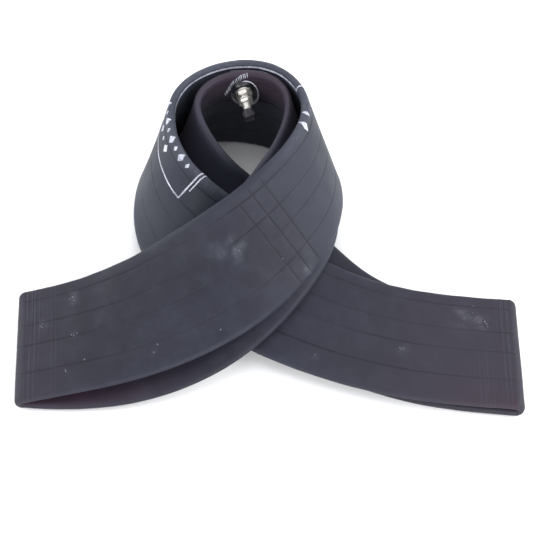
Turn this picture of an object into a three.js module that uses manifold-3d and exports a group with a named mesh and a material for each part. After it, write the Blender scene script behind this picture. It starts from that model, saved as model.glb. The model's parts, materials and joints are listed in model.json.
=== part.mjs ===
// A heavy-duty inner tube for a 21-inch off-road motorcycle wheel, pressed flat, folded double and
// looped over itself as it leaves its box, with its valve, nuts, valve core and dust cap.
// Millimetres, +Z up. X runs from the left fold to the right fold, and the loop stands at the back.
import * as THREE from "three";
import { mergeVertices } from "three/addons/utils/BufferGeometryUtils.js";
import Module from "manifold-3d";

const wasm = await Module();
wasm.setup();

// The flattened tube: two 3 mm rubber walls with a thin slit of air between them.
const FLAT_WIDTH = 100;
const FLAT_THICKNESS = 7;
const SLIT_WIDTH = 88;
const SLIT_THICKNESS = 1;
const EDGE_STEPS = 4; // chords in each rounded edge
const RUN_STEPS = 90; // sections along each run
const FOLD_STEPS = 8; // sections round each fold

// Each run of the band from the left fold to the right fold, as stations of a smooth curve: x, y and
// z of its middle line, and how far its upper edge leans to the left of the way it runs, in degrees.
// 0 stands on its edge and 90 lies flat. The outer run is on top and outside the loop, the inner run
// lies under it and inside the loop.
const OUTER_RUN = [
  [-200, -85, 15, 87],
  [-120, -73, 27, 83],
  [-45, -53, 60, 62],
  [25, -5, 86, 40],
  [63, 81, 73, 18],
  [5, 161, 47, -8],
  [-99, 134, 53, 10],
  [-100, 32, 56, 30],
  [-32, -23, 31, 67],
  [40, -61, 15, 90],
  [122, -85, 14, 90],
  [203, -90, 12.5, 90],
];
const INNER_RUN = [
  [-200, -85, 6, 90],
  [-125, -89, 3, 91],
  [-51, -66, 26, 82],
  [3, -16, 58, 64],
  [45, 52, 66, 36],
  [22, 145, 47, -13],
  [-87, 134, 53, 13],
  [-69, 35, 42, 47],
  [-1, 3, 14, 77],
  [55, -56, 3.5, 90],
  [128, -85, 3.5, 90],
  [203, -92, 3.5, 90],
];
const LEFT_FOLD = new THREE.Vector3(-6, 100, 4).normalize(); // the way each fold's crease runs
const RIGHT_FOLD = new THREE.Vector3(3, 100, 0).normalize();
const FOLD_REACH = 0.1; // share of a run over which its sections turn to the crease

// The valve stands on the inner run, near its upper edge, and droops forward.
const VALVE_PLACE = 0.488; // share of the inner run
const VALVE_ABOVE_MIDDLE = 32.8;
const VALVE_AXIS = new THREE.Vector3(0.21, -0.96, -0.16).normalize();
const GAP = 0.3; // between pieces that touch
const PAD_PLACE = 0.4849; // the oval foot's middle, as a share of the inner run
const PAD_ABOVE_MIDDLE = 26;
const PAD_HALF_LENGTH = 17; // across the band
const PAD_HALF_WIDTH = 13; // along it
const PAD_THICKNESS = 1;
const DOME_RADIUS = 10;
const WALL_HOLE_RADIUS = 8;
const FLANGE_RADIUS = 5.5;

// Heights along the valve's axis, from the face of the tube.
const FLANGE_BOTTOM = 0.6;
const FLANGE_TOP = 1.7;
const SEAT = 3.4;
const STEM_MOUTH = 27.1;
const CAP_SKIRT = 23.4;
const CAP_TIP = 31.9;
const THREAD_RADIUS = 3.85; // 8V1 valve thread, 0.305 inch
const NUT_BORE = THREAD_RADIUS + GAP;
const BASE_NUT = { bottom: 5.1, top: 9.5, flats: 12.5 };
const RIM_NUT = { bottom: 13, top: 16.3, flats: 11 };
const WASHER_THICKNESS = { base: 1.1, rim: 0.7 };
const WASHER_RADIUS = { base: 7, rim: 6.4 };

const ROUND = 24; // sides of the valve's round pieces
const SMALL_ROUND = 16; // sides of the valve core's pieces

const FINISH = {
  rubber: { color: 0x3e4048, roughness: 0.6, metalness: 0 },
  nickel: { color: 0xb9b4a6, roughness: 0.3, metalness: 1 },
  brass: { color: 0xb89b5e, roughness: 0.35, metalness: 1 },
  plastic: { color: 0x26272b, roughness: 0.5, metalness: 0 },
  seal: { color: 0x8c2f24, roughness: 0.7, metalness: 0 },
  ptfe: { color: 0xe9e6dc, roughness: 0.5, metalness: 0 },
};

// Closed geometry to solid, and back.
function solidOf(geometry) {
  const bare = geometry.clone();
  bare.deleteAttribute("normal");
  bare.deleteAttribute("uv");
  const merged = mergeVertices(bare);
  return new wasm.Manifold(
    new wasm.Mesh({
      numProp: 3,
      vertProperties: merged.attributes.position.array,
      triVerts: new Uint32Array(merged.index.array),
    }),
  );
}

function geometryOf(solid) {
  const mesh = solid.getMesh();
  const geometry = new THREE.BufferGeometry();
  geometry.setAttribute("position", new THREE.BufferAttribute(mesh.vertProperties, 3));
  geometry.setIndex(new THREE.BufferAttribute(mesh.triVerts, 1));
  return geometry;
}

function named(name, geometry, finish) {
  const shape = geometry.index ? geometry.toNonIndexed() : geometry;
  shape.computeVertexNormals();
  const mesh = new THREE.Mesh(shape, new THREE.MeshStandardMaterial(FINISH[finish]));
  mesh.name = name;
  return mesh;
}

// ---- The band's route ----

// A uniform cubic B-spline through the run's two end stations, along share 0 to 1.
function station(run, share) {
  const last = run.length - 1;
  const reach = Math.min(Math.max(share, 0), 1) * last;
  const span = Math.min(Math.floor(reach), last - 1);
  const u = reach - span;
  const weights = [
    (1 - u) ** 3,
    3 * u ** 3 - 6 * u ** 2 + 4,
    -3 * u ** 3 + 3 * u ** 2 + 3 * u + 1,
    u ** 3,
  ];
  const value = (index, axis) => {
    if (index < 0) return 2 * run[0][axis] - run[1][axis];
    if (index > last) return 2 * run[last][axis] - run[last - 1][axis];
    return run[index][axis];
  };
  return [0, 1, 2, 3].map(
    (axis) => weights.reduce((sum, weight, k) => sum + weight * value(span - 1 + k, axis), 0) / 6,
  );
}

// The section at a share of a run: its middle, the way its width points and its upward face's normal.
function section(run, share) {
  const step = 1e-4;
  const [x, y, z, lean] = station(run, share);
  const ahead = new THREE.Vector3(...station(run, share + step));
  const along = ahead.sub(new THREE.Vector3(...station(run, share - step))).normalize();
  const side = new THREE.Vector3(0, 0, 1).cross(along).normalize();
  const up = along.clone().cross(side);
  const angle = THREE.MathUtils.degToRad(lean);
  const width = up.multiplyScalar(Math.cos(angle)).addScaledVector(side, Math.sin(angle));
  const toLeft = THREE.MathUtils.smoothstep(1 - share / FOLD_REACH, 0, 1);
  const toRight = THREE.MathUtils.smoothstep(1 - (1 - share) / FOLD_REACH, 0, 1);
  width.lerp(LEFT_FOLD, toLeft).lerp(RIGHT_FOLD, toRight).normalize();
  const normal = along.clone().cross(width).normalize();
  const skew = Math.sqrt(1 - width.dot(along) ** 2);
  return { middle: new THREE.Vector3(x, y, z), along, width: width.divideScalar(skew), normal };
}

// Sections round a fold, from one run's end to the other's, bulging away from the band.
function fold(from, to, bulge) {
  const centre = from.middle.clone().lerp(to.middle, 0.5);
  const arm = from.middle.clone().sub(centre);
  const out = bulge.clone().addScaledVector(from.width, -bulge.dot(from.width)).normalize();
  return Array.from({ length: FOLD_STEPS - 1 }, (_, i) => {
    const angle = ((i + 1) * Math.PI) / FOLD_STEPS;
    const normal = arm.clone().multiplyScalar(Math.cos(angle));
    normal.addScaledVector(out, arm.length() * Math.sin(angle));
    return { middle: centre.clone().add(normal), width: from.width, normal: normal.normalize() };
  });
}

// The whole closed belt: outer run, right fold, inner run back again, left fold.
function beltSections() {
  const shares = Array.from({ length: RUN_STEPS + 1 }, (_, i) => i / RUN_STEPS);
  const outer = shares.map((share) => section(OUTER_RUN, share));
  const inner = shares.map((share) => section(INNER_RUN, 1 - share));
  inner.forEach((place) => place.normal.negate());
  const right = fold(outer[RUN_STEPS], inner[0], outer[RUN_STEPS].along);
  const left = fold(inner[RUN_STEPS], outer[0], outer[0].along.clone().negate());
  return [...outer, ...right, ...inner, ...left];
}

// An outline of a flat bar with round edges, as [across, out] pairs.
function roundEdgedOutline(width, thickness) {
  const radius = thickness / 2;
  const outline = [];
  for (const side of [1, -1]) {
    for (let i = 0; i <= EDGE_STEPS; i += 1) {
      const angle = (i / EDGE_STEPS - 0.5) * Math.PI;
      const across = side * (width / 2 - radius + radius * Math.cos(angle));
      outline.push([across, side * radius * Math.sin(angle)]);
    }
  }
  return outline;
}

function rectangleOutline(width, thickness) {
  return [
    [width / 2, -thickness / 2],
    [width / 2, thickness / 2],
    [-width / 2, thickness / 2],
    [-width / 2, -thickness / 2],
  ];
}

// An endless bar of one outline swept round the belt.
function beltGeometry(sections, outline) {
  const points = [];
  for (const { middle, width, normal } of sections) {
    for (const [across, out] of outline) {
      points.push(middle.clone().addScaledVector(width, across).addScaledVector(normal, out));
    }
  }
  const faces = [];
  const count = outline.length;
  sections.forEach((_, i) => {
    const here = i * count;
    const next = ((i + 1) % sections.length) * count;
    for (let k = 0; k < count; k += 1) {
      const other = (k + 1) % count;
      faces.push(here + k, here + other, next + k, here + other, next + other, next + k);
    }
  });
  return new THREE.BufferGeometry().setFromPoints(points).setIndex(faces);
}

// ---- Shapes round the valve's axis ----

// Turns a closed outline of [radius, height] pairs about +Z.
function turned(outline, sides = ROUND) {
  const points = outline.map(([radius, height]) => new THREE.Vector2(radius, height));
  return new THREE.LatheGeometry(points, sides).rotateX(Math.PI / 2);
}

// A tube, washer or ring.
function ring(inside, outside, bottom, top, sides = ROUND) {
  const outline = [
    [inside, bottom],
    [outside, bottom],
    [outside, top],
    [inside, top],
    [inside, bottom],
  ];
  return turned(outline, sides);
}

function plug(radius, bottom, top) {
  const outline = [
    [0, bottom],
    [radius, bottom],
    [radius, top],
    [0, top],
  ];
  return turned(outline);
}

function hexNut({ bottom, top, flats }) {
  const corner = flats / Math.sqrt(3);
  const height = top - bottom;
  const hexagon = new THREE.CylinderGeometry(corner, corner, height, 6).rotateX(Math.PI / 2);
  hexagon.translate(0, 0, (top + bottom) / 2);
  const chamfer = [
    [0, bottom],
    [corner - 0.6, bottom],
    [corner, bottom + 0.5],
    [corner, top - 0.5],
    [corner - 0.6, top],
    [0, top],
  ];
  const bore = plug(NUT_BORE, bottom - 1, top + 1);
  return geometryOf(solidOf(hexagon).intersect(solidOf(turned(chamfer))).subtract(solidOf(bore)));
}

// ---- Pieces ----

const sections = beltSections();
const valveSection = section(INNER_RUN, VALVE_PLACE);
const wallNormal = valveSection.normal.clone().negate(); // out of the wall, into the loop
const valveFoot = valveSection.middle
  .clone()
  .addScaledVector(valveSection.width, VALVE_ABOVE_MIDDLE)
  .addScaledVector(wallNormal, FLAT_THICKNESS / 2);

function tube() {
  const outside = solidOf(beltGeometry(sections, roundEdgedOutline(FLAT_WIDTH, FLAT_THICKNESS)));
  const slit = solidOf(beltGeometry(sections, rectangleOutline(SLIT_WIDTH, SLIT_THICKNESS)));
  const hole = plug(WALL_HOLE_RADIUS, -FLAT_THICKNESS / 2, 2)
    .applyQuaternion(new THREE.Quaternion().setFromUnitVectors(new THREE.Vector3(0, 0, 1), wallNormal))
    .translate(...valveFoot);
  return named("tube", geometryOf(outside.subtract(slit).subtract(solidOf(hole))), "rubber");
}

// A thin oval patch that follows the curved wall, from just inside it to its own thickness.
function patch() {
  const rings = 4;
  const sides = 32;
  const runLength = new THREE.Vector3(...station(INNER_RUN, PAD_PLACE + 0.01))
    .distanceTo(section(INNER_RUN, PAD_PLACE).middle) / 0.01;
  const at = (reach, angle, height) => {
    const along = reach * PAD_HALF_WIDTH * Math.cos(angle);
    const place = section(INNER_RUN, PAD_PLACE - along / runLength);
    return place.middle
      .addScaledVector(place.width, PAD_ABOVE_MIDDLE + reach * PAD_HALF_LENGTH * Math.sin(angle))
      .addScaledVector(place.normal, -(FLAT_THICKNESS / 2 + height));
  };
  const points = [at(0, 0, -GAP), at(0, 0, PAD_THICKNESS)];
  for (const height of [-GAP, PAD_THICKNESS]) {
    for (let i = 1; i <= rings; i += 1) {
      for (let k = 0; k < sides; k += 1) {
        points.push(at(i / rings, (k / sides) * 2 * Math.PI, height));
      }
    }
  }
  const index = (layer, i, k) => 2 + layer * rings * sides + (i - 1) * sides + (k % sides);
  const faces = [];
  for (let k = 0; k < sides; k += 1) {
    faces.push(0, index(0, 1, k + 1), index(0, 1, k), 1, index(1, 1, k), index(1, 1, k + 1));
    for (let i = 1; i < rings; i += 1) {
      faces.push(index(0, i, k), index(0, i, k + 1), index(0, i + 1, k));
      faces.push(index(0, i, k + 1), index(0, i + 1, k + 1), index(0, i + 1, k));
      faces.push(index(1, i, k), index(1, i + 1, k), index(1, i, k + 1));
      faces.push(index(1, i, k + 1), index(1, i + 1, k), index(1, i + 1, k + 1));
    }
    faces.push(index(0, rings, k), index(0, rings, k + 1), index(1, rings, k));
    faces.push(index(0, rings, k + 1), index(1, rings, k + 1), index(1, rings, k));
  }
  return new THREE.BufferGeometry().setFromPoints(points).setIndex(faces);
}

// The moulded valve base: the patch with a dome that holds the stem's flange.
function valveBase() {
  const dome = [
    [0, -5],
    [DOME_RADIUS, -5],
    [DOME_RADIUS, -1],
    [DOME_RADIUS - 0.4, 0.9],
    [DOME_RADIUS - 1.2, 2.3],
    [DOME_RADIUS - 2.4, SEAT],
    [0, SEAT],
  ];
  const onAxis = (geometry) => solidOf(geometry.applyMatrix4(valve.matrix));
  const wall = roundEdgedOutline(FLAT_WIDTH + 2 * GAP, FLAT_THICKNESS + 2 * GAP);
  const solid = solidOf(patch())
    .add(onAxis(turned(dome)))
    .subtract(solidOf(beltGeometry(sections, wall)))
    .subtract(onAxis(plug(FLANGE_RADIUS + GAP, -12, FLANGE_TOP + GAP)))
    .subtract(onAxis(plug(NUT_BORE, 0, SEAT + 1)));
  const largest = solid.decompose().sort((a, b) => b.volume() - a.volume())[0];
  return named("valve_base", geometryOf(largest), "rubber");
}

function valveStem() {
  const outline = [
    [1.6, FLANGE_BOTTOM],
    [FLANGE_RADIUS, FLANGE_BOTTOM],
    [FLANGE_RADIUS, FLANGE_TOP],
    [THREAD_RADIUS, FLANGE_TOP],
    [THREAD_RADIUS, STEM_MOUTH - 0.5],
    [THREAD_RADIUS - 0.5, STEM_MOUTH],
    [2.65, STEM_MOUTH],
    [2.65, STEM_MOUTH - 11.4],
    [2.2, STEM_MOUTH - 12.2],
    [2.2, STEM_MOUTH - 19.1],
    [1.6, STEM_MOUTH - 19.1],
    [1.6, FLANGE_BOTTOM],
  ];
  return named("valve_stem", turned(outline), "nickel");
}

function washer(name, radius, thickness, nut) {
  const top = nut.bottom - GAP;
  return named(name, ring(NUT_BORE, radius, top - thickness, top), "nickel");
}

function capShell() {
  const outline = [
    [NUT_BORE, CAP_SKIRT],
    [5.1, CAP_SKIRT],
    [5.3, CAP_SKIRT + 0.4],
    [5.3, CAP_TIP - 1.4],
    [4.9, CAP_TIP - 0.5],
    [3.9, CAP_TIP],
    [0, CAP_TIP],
    [0, STEM_MOUTH + 2.8],
    [2, STEM_MOUTH + 2.8],
    [2, STEM_MOUTH + 1.4],
    [NUT_BORE, STEM_MOUTH + 1.4],
    [NUT_BORE, CAP_SKIRT],
  ];
  return named("cap_shell", turned(outline), "plastic");
}

function capSeal() {
  return named("cap_seal", ring(1.4, 3.8, STEM_MOUTH + GAP, STEM_MOUTH + 1.1), "rubber");
}

// ---- The valve core, with its heights from the stem's mouth ----

// The slotted plug that screws the core into the stem.
function corePlug() {
  const body = ring(0.8, 2.35, -5.1, -1, SMALL_ROUND);
  const slot = new THREE.BoxGeometry(6, 1.7, 2.4).translate(0, 0, -1);
  return named("core_plug", geometryOf(solidOf(body).subtract(solidOf(slot))), "brass");
}

function coreBarrel() {
  const outline = [
    [0.75, -13.8],
    [1.45, -13.8],
    [1.45, -10],
    [2.25, -10],
    [2.25, -5.4],
    [1.35, -5.4],
    [1.35, -9.7],
    [0.75, -9.7],
    [0.75, -13.8],
  ];
  return named("core_barrel", turned(outline, SMALL_ROUND), "brass");
}

function coreBarrelSeal() {
  const outline = [
    [1.75, -11.5],
    [2.1, -11.5],
    [2.3, -11],
    [2.3, -10.3],
    [1.75, -10.3],
    [1.75, -11.5],
  ];
  return named("core_barrel_seal", turned(outline, SMALL_ROUND), "ptfe");
}

function corePin() {
  const outline = [
    [0, -17.6],
    [1.1, -17.6],
    [1.1, -16.6],
    [0.45, -16.6],
    [0.45, -6.3],
    [1.05, -6.3],
    [1.05, -5.7],
    [0.45, -5.7],
    [0.45, -0.5],
    [0.3, -0.3],
    [0, -0.3],
  ];
  return named("core_pin", turned(outline, SMALL_ROUND), "brass");
}

// An open coil round the pin, between the barrel's shoulder and the pin's collar.
function coreSpring() {
  class Coil extends THREE.Curve {
    getPoint(t, target = new THREE.Vector3()) {
      const turns = 4;
      const angle = turns * 2 * Math.PI * t;
      return target.set(Math.cos(angle), Math.sin(angle), 2.4 * t - 9.2);
    }
  }
  const wire = new THREE.Shape().absarc(0, 0, 0.15, 0, 2 * Math.PI);
  const sweep = { steps: 56, curveSegments: 6, bevelEnabled: false, extrudePath: new Coil() };
  return named("core_spring", new THREE.ExtrudeGeometry(wire, sweep), "nickel");
}

const valve = new THREE.Group();
valve.position.copy(valveFoot);
valve.quaternion.setFromUnitVectors(new THREE.Vector3(0, 0, 1), VALVE_AXIS);
valve.updateMatrix();
valve.add(
  valveStem(),
  washer("base_washer", WASHER_RADIUS.base, WASHER_THICKNESS.base, BASE_NUT),
  named("base_nut", hexNut(BASE_NUT), "nickel"),
  washer("rim_washer", WASHER_RADIUS.rim, WASHER_THICKNESS.rim, RIM_NUT),
  named("rim_nut", hexNut(RIM_NUT), "nickel"),
  capShell(),
  capSeal(),
);

const core = new THREE.Group();
core.position.z = STEM_MOUTH;
core.add(
  corePlug(),
  coreBarrel(),
  coreBarrelSeal(),
  corePin(),
  named("core_cup", ring(0.75, 1.6, -16.3, -15.2, SMALL_ROUND), "brass"),
  named("core_cup_seal", ring(0.75, 1.3, -14.9, -14.1, SMALL_ROUND), "seal"),
  coreSpring(),
);
valve.add(core);

const model = new THREE.Group();
model.add(tube(), valveBase(), valve);

// The origin is on the surface that the tube lies on, under the middle of its box.
const box = new THREE.Box3().setFromObject(model, true);
const centre = box.getCenter(new THREE.Vector3());
model.position.set(-centre.x, -centre.y, -box.min.z);

const part = new THREE.Group();
part.add(model);
export default part;
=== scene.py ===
"""The looks of a heavy-duty off-road inner tube that lies folded double and looped over itself."""
import json
import math

import bmesh
import bpy
import numpy as np
from mathutils import Matrix, Vector


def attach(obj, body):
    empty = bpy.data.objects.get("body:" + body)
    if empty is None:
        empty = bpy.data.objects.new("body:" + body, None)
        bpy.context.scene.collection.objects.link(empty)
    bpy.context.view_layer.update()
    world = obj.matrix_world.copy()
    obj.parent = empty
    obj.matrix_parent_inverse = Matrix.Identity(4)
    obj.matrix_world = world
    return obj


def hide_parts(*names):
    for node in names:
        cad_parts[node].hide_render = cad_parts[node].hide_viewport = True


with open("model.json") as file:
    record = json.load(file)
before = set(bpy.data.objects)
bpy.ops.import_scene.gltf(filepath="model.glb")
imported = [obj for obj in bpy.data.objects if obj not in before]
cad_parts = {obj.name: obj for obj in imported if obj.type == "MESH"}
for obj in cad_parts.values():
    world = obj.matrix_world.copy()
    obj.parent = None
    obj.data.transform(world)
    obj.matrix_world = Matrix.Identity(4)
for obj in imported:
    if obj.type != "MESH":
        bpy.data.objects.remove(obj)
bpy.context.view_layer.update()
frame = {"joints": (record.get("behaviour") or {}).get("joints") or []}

JOINTS = {joint["name"]: joint for joint in frame["joints"]}
MM = 0.001

# The band: its flat width and thickness, the reach of its rounded edges, and the way round one edge.
FLAT_WIDTH = 100.0
FLAT_THICKNESS = 7.0
EDGE_REACH = 4.5
FLAT_HALF = FLAT_WIDTH / 2 - EDGE_REACH
EDGE_WAY = 12.6
HALF_ROUND = 2 * FLAT_HALF + EDGE_WAY  # half the way round the band's section

# Each run of the band, as in the CAD: x, y and z of its middle line and its lean in degrees.
OUTER_RUN = np.array([
    (-200, -85, 15, 87),
    (-120, -73, 27, 83),
    (-45, -53, 60, 62),
    (25, -5, 86, 40),
    (63, 81, 73, 18),
    (5, 161, 47, -8),
    (-99, 134, 53, 10),
    (-100, 32, 56, 30),
    (-32, -23, 31, 67),
    (40, -61, 15, 90),
    (122, -85, 14, 90),
    (203, -90, 12.5, 90),
], float)
INNER_RUN = np.array([
    (-200, -85, 6, 90),
    (-125, -89, 3, 91),
    (-51, -66, 26, 82),
    (3, -16, 58, 64),
    (45, 52, 66, 36),
    (22, 145, 47, -13),
    (-87, 134, 53, 13),
    (-69, 35, 42, 47),
    (-1, 3, 14, 77),
    (55, -56, 3.5, 90),
    (128, -85, 3.5, 90),
    (203, -92, 3.5, 90),
], float)
LEFT_FOLD = np.array((-6, 100, 4.0)) / np.linalg.norm((-6, 100, 4.0))
RIGHT_FOLD = np.array((3, 100, 0.0)) / np.linalg.norm((3, 100, 0.0))
FOLD_REACH = 0.1

# The valve, as in the CAD: heights along its axis from the face of the tube, in millimetres.
VALVE_PLACE = 0.488
VALVE_ABOVE_MIDDLE = 32.8
VALVE_AXIS = Vector((0.21, -0.96, -0.16)).normalized()
PAD_PLACE = 0.4849
PAD_ABOVE_MIDDLE = 26.0
PAD_HALF_LENGTH = 17.0
PAD_HALF_WIDTH = 13.0
SEAT = 3.4
BASE_WASHER = (3.7, 4.8, 7.0)  # bottom, top, radius
BASE_NUT = (5.1, 9.5, 12.5)  # bottom, top, width across flats
RIM_WASHER = (12.0, 12.7, 6.4)
RIM_NUT = (13.0, 16.3, 11.0)
STEM_MOUTH = 27.1
CAP_SKIRT = 23.4
CAP_TIP = 31.9
THREAD_RADIUS = 3.85
THREAD_PITCH = 0.794
NUT_BORE = 4.15
FLANGE_BOTTOM = 0.6
FLANGE_TOP = 1.7
FLANGE_RADIUS = 5.5


def smoothstep(x):
    """From 0 to 1 with a soft start and end, and flat outside."""
    x = np.clip(x, 0, 1)
    return x * x * (3 - 2 * x)


# ---- The band's route and its surface ----

def station(run, share):
    """A uniform cubic B-spline through the run's two end stations: x, y, z and lean."""
    points = np.vstack([2 * run[0] - run[1], run, 2 * run[-1] - run[-2]])
    spans = len(run) - 1
    reach = np.clip(share * spans, 0, spans - 1e-9)
    i = reach.astype(int)
    u = (reach - i)[:, None]
    before = (1 - u) ** 3 * points[i] + (3 * u ** 3 - 6 * u ** 2 + 4) * points[i + 1]
    after = (-3 * u ** 3 + 3 * u ** 2 + 3 * u + 1) * points[i + 2] + u ** 3 * points[i + 3]
    return (before + after) / 6


def unit(vectors):
    return vectors / np.linalg.norm(vectors, axis=-1, keepdims=True)


def run_sections(run, share):
    """Middle, way of the width, upward normal and way along, at each share of a run."""
    share = np.atleast_1d(np.asarray(share, float))
    here = station(run, share)
    step = 1e-4
    along = unit((station(run, share + step) - station(run, share - step))[:, :3])
    side = unit(np.cross((0, 0, 1.0), along))
    up = np.cross(along, side)
    lean = np.radians(here[:, 3:4])
    width = np.cos(lean) * up + np.sin(lean) * side
    to_left = smoothstep(1 - share / FOLD_REACH)[:, None]
    width = width * (1 - to_left) + LEFT_FOLD * to_left
    to_right = smoothstep(1 - (1 - share) / FOLD_REACH)[:, None]
    width = unit(width * (1 - to_right) + RIGHT_FOLD * to_right)
    normal = unit(np.cross(along, width))
    skew = np.sqrt(1 - (width * along).sum(1) ** 2)[:, None]
    return here[:, :3], width / skew, normal, along


def run_length(run):
    """The length of a run's middle line in millimetres."""
    middle = station(run, np.linspace(0, 1, 600))[:, :3]
    return float(np.linalg.norm(np.diff(middle, axis=0), axis=1).sum())


OUTER_LENGTH = run_length(OUTER_RUN)
INNER_LENGTH = run_length(INNER_RUN)


def length_of(run):
    return OUTER_LENGTH if run is OUTER_RUN else INNER_LENGTH


def outline(way):
    """Across and out of the band's section, and which way its face looks, at a way round it."""
    size = np.abs(way)
    sign = np.where(way < 0, -1.0, 1.0)
    turn = np.clip((size - FLAT_HALF) / EDGE_WAY, 0, 1) * math.pi
    beyond = np.maximum(size - FLAT_HALF - EDGE_WAY, 0)
    across = np.where(size < FLAT_HALF, size, FLAT_HALF + EDGE_REACH * np.sin(turn) - beyond)
    out = FLAT_THICKNESS / 2 * np.cos(turn)
    look = np.stack([sign * np.sin(turn), np.cos(turn)], -1)
    return sign * across, out, look


WAVE_COUNT = 7


def waves(x, y, seed):
    """Smooth random waves of about unit length scale, between about -1 and 1."""
    rng = np.random.default_rng(seed)
    total = 0
    for _ in range(WAVE_COUNT):
        direction = rng.uniform(0, 2 * math.pi)
        scale = rng.uniform(0.6, 1.7)
        phase = rng.uniform(0, 2 * math.pi)
        total = total + np.sin(scale * (x * math.cos(direction) + y * math.sin(direction)) + phase)
    return total / math.sqrt(WAVE_COUNT) / 1.4


VENT_LINES = (-26.0, -1.5, 17.0, 39.0)  # across, on both faces
VENT_HALF_WIDTH = 0.52
VENT_DEPTH = 0.5
CROSS_LINES = (0.2425, 0.256, 0.2695)  # shares of the outer run
CROSS_ENDS = ((-49, 40), (-49, 47), (-47, 46))
STRIATION_REACH = 42.0  # from each fold
STRIATION_LENGTH = 2.1


def line_strength(x, way, outer):
    """How strongly the moulded lines show, 0 to 1, at x millimetres along a run."""
    strength = 0
    for place, line in enumerate(VENT_LINES):
        shown = 0.62 + 0.38 * waves(x / 28, way * 0 + place * 5.0, 40 + place)
        strength = np.maximum(strength, shown * np.exp(-(((way - line) / VENT_HALF_WIDTH) ** 2)))
    if outer:
        share = x / OUTER_LENGTH
        middle_gap = smoothstep((share - 0.17) / 0.02) * smoothstep((0.236 - share) / 0.02)
        strength = strength * (1 - 0.75 * middle_gap)
        for line, (low, high) in zip(CROSS_LINES, CROSS_ENDS):
            distance = (x - line * OUTER_LENGTH) / VENT_HALF_WIDTH
            inside = smoothstep((way - low) / 4) * smoothstep((high - way) / 4)
            strength = np.maximum(strength, inside * np.exp(-(distance ** 2)))
    return strength


def striation(x, length, way, outer):
    """Fine creases alongside a fold, -1 to 1, fading away from it."""
    seed = 5 if outer else 13
    near_fold = smoothstep(1 - x / STRIATION_REACH) + smoothstep(1 - (length - x) / STRIATION_REACH)
    drift = waves(x / 9, way / 38, seed)
    fine = np.sin(2 * math.pi * x / STRIATION_LENGTH + 3.2 * drift)
    coarse = np.sin(2 * math.pi * x / (1.9 * STRIATION_LENGTH) + 2.4 * waves(x / 12, way / 45, seed + 2))
    broken = np.clip(0.4 + 0.75 * waves(x / 5, way / 17, seed + 1), 0, 1.2)
    return (0.65 * fine + 0.45 * coarse) * near_fold * broken


def relief(x, length, way, outer):
    """How far the rubber stands out of its plain shape, in millimetres."""
    seed = 3 if outer else 11
    soft = 0.16 * waves(x / 16, way / 13, seed) + 0.1 * waves(x / 6, way / 7, seed + 1)
    folds = 0.13 * striation(x, length, way, outer)
    return soft + folds - VENT_DEPTH * line_strength(x, way, outer)


def run_points(run, x, way, lift=0.0, plain=False):
    """Points on the band's skin, in the route's millimetres, at x along a run and a way round it.

    Plain points leave out the moulded lines and the unevenness.
    """
    outer = run is OUTER_RUN
    length = length_of(run)
    x, way = np.broadcast_arrays(np.asarray(x, float), np.asarray(way, float))
    middle, width, normal, _ = run_sections(run, x.ravel() / length)
    stand = lift if plain else lift + relief(x.ravel(), length, way.ravel(), outer)
    across, out, look = outline(way.ravel())
    across = across + stand * look[:, 0]
    out = (out + stand * look[:, 1]) * (1 if outer else -1)
    return (middle + width * across[:, None] + normal * out[:, None]).reshape(*x.shape, 3)


# How finely the skin is divided: steps round a fold, then spacings in millimetres.
FOLD_STEPS = 15
EDGE_SPACING = 0.95
FACE_SPACING = 2.7
HIDDEN_SPACING = 7.0
FOLD_SPACING = 0.6
RUN_SPACING = 2.56
LINE_STEPS = (-1.9, -0.9, 0, 0.9, 1.9)  # across a moulded line, in half widths
LINE_MARGIN = 0.6  # kept clear on each side of those steps


def ways_round():
    """Places round the section, closer together at the edges and at the moulded lines."""
    ways = list(np.arange(-FLAT_HALF + 1, FLAT_HALF - 1, FACE_SPACING))
    edge = list(np.arange(FLAT_HALF, FLAT_HALF + EDGE_WAY + 6, EDGE_SPACING))
    edge += list(np.arange(FLAT_HALF + EDGE_WAY + 7, HALF_ROUND - 1, HIDDEN_SPACING))
    ways += edge + [-way for way in edge]
    for line in VENT_LINES:
        group = [line + step * VENT_HALF_WIDTH for step in LINE_STEPS]
        low, high = min(group) - LINE_MARGIN, max(group) + LINE_MARGIN
        ways = [way for way in ways if not low < way < high] + group
    return np.array(sorted(ways))


def places_along(length, outer):
    """Places along a run, closer together near the folds and at the moulded lines across it."""
    places = list(np.arange(STRIATION_REACH, length - STRIATION_REACH, RUN_SPACING))
    places += list(np.arange(0, STRIATION_REACH, FOLD_SPACING))
    places += [length - place for place in np.arange(0, STRIATION_REACH, FOLD_SPACING)]
    if outer:
        for line in CROSS_LINES:
            group = [line * length + step * VENT_HALF_WIDTH for step in LINE_STEPS]
            low, high = min(group) - LINE_MARGIN, max(group) + LINE_MARGIN
            places = [place for place in places if not low < place < high] + group
    return np.array(sorted(places))


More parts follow.
